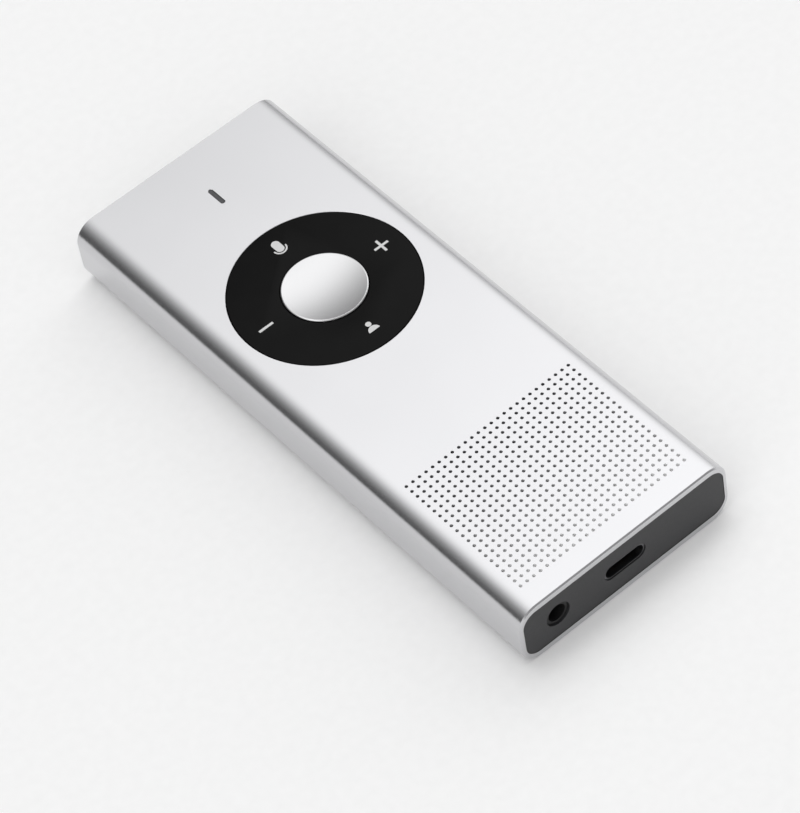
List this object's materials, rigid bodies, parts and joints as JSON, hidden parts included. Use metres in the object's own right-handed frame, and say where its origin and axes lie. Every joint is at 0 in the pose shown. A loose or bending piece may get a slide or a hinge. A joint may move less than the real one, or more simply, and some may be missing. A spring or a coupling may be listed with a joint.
{
  "type": "handheld translator",
  "caption": "Slim bar-shaped voice translator: aluminium sleeve with a drilled speaker grille, a round rocking dial with a dished centre button, and end ports.",
  "frame": {"origin": "under the middle of the flat back, on the surface it lies on", "axes": "+Z out of the face with the dial and grille; +Y along the length, towards the end with the status light; -Y is the end with the ports; +X to the right seen from above with +Y up"},
  "size_m": [0.0458, 0.1204, 0.0138],
  "materials": {
    "anodised_aluminium": "bead blasted and anodised, satin",
    "dark_plastic": "fine moulded grain",
    "black_plastic": "moulded",
    "battery_foil": "laminated foil",
    "foam": "closed cell foam",
    "white_plastic": "moulded",
    "board": "solder mask",
    "chip": "moulded package",
    "tinned_steel": "tin plated sheet",
    "antenna_film": "polyimide film",
    "lamp": "clear epoxy",
    "smoked_plastic": "smoked polycarbonate",
    "rubber": "silicone",
    "screw_steel": "black zinc",
    "spring_steel": "stamped stainless",
    "magnet": "nickel plated",
    "film": "pressed film",
    "gold": "gold flash",
    "mesh_cloth": "woven polyester",
    "port_steel": "nickel plated stainless",
    "gloss_black": "polished moulding",
    "button_aluminium": "fine turned and anodised, satin"
  },
  "bodies": {
    "housing": {"sleeve": "anodised_aluminium", "end_cap_ports": "dark_plastic", "end_cap_far": "dark_plastic", "chassis": "black_plastic", "battery": "battery_foil", "battery_tape": "foam", "battery_tail": "antenna_film", "battery_plug": "white_plastic", "main_board": "board", "processor": "chip", "memory_chip": "chip", "shield_can": "tinned_steel", "radio_module": "tinned_steel", "antenna": "antenna_film", "status_led": "lamp", "status_light_pipe": "smoked_plastic", "microphone": "tinned_steel", "microphone_gasket": "rubber", "keypad_frame": "black_plastic", "board_screws": "screw_steel", "rocker_domes": "spring_steel", "centre_dome": "spring_steel", "speaker_basket": "black_plastic", "speaker_magnet": "magnet", "speaker_diaphragm": "film", "speaker_gasket": "foam", "speaker_contacts": "gold", "dust_mesh": "mesh_cloth", "port_board": "board", "port_flex": "antenna_film", "usb_shell": "port_steel", "usb_tongue": "black_plastic", "usb_contacts": "gold", "jack_body": "black_plastic", "jack_contacts": "gold"},
    "gimbal": {"dial_gimbal": "spring_steel"},
    "dial": {"dial_ring": "gloss_black"},
    "button": {"centre_button": "button_aluminium", "button_plunger": "black_plastic"}
  },
  "joints": [
    {"name": "dial_tilt_x", "type": "hinge", "parent": "housing", "child": "gimbal", "pos_m": [0, 0.0171, 0.0103], "axis": [1, 0, 0], "range_deg": [-1, 1], "stiffness_Nm_per_rad": 1},
    {"name": "dial_tilt_y", "type": "hinge", "parent": "gimbal", "child": "dial", "pos_m": [0, 0.0171, 0.0103], "axis": [0, 1, 0], "range_deg": [-1, 1], "stiffness_Nm_per_rad": 1},
    {"name": "centre_button_press", "type": "slide", "parent": "housing", "child": "button", "axis": [0, 0, -1], "range_m": [0, 0.0004], "stiffness_N_per_m": 2000, "springref_m": -0.0001}
  ]
}
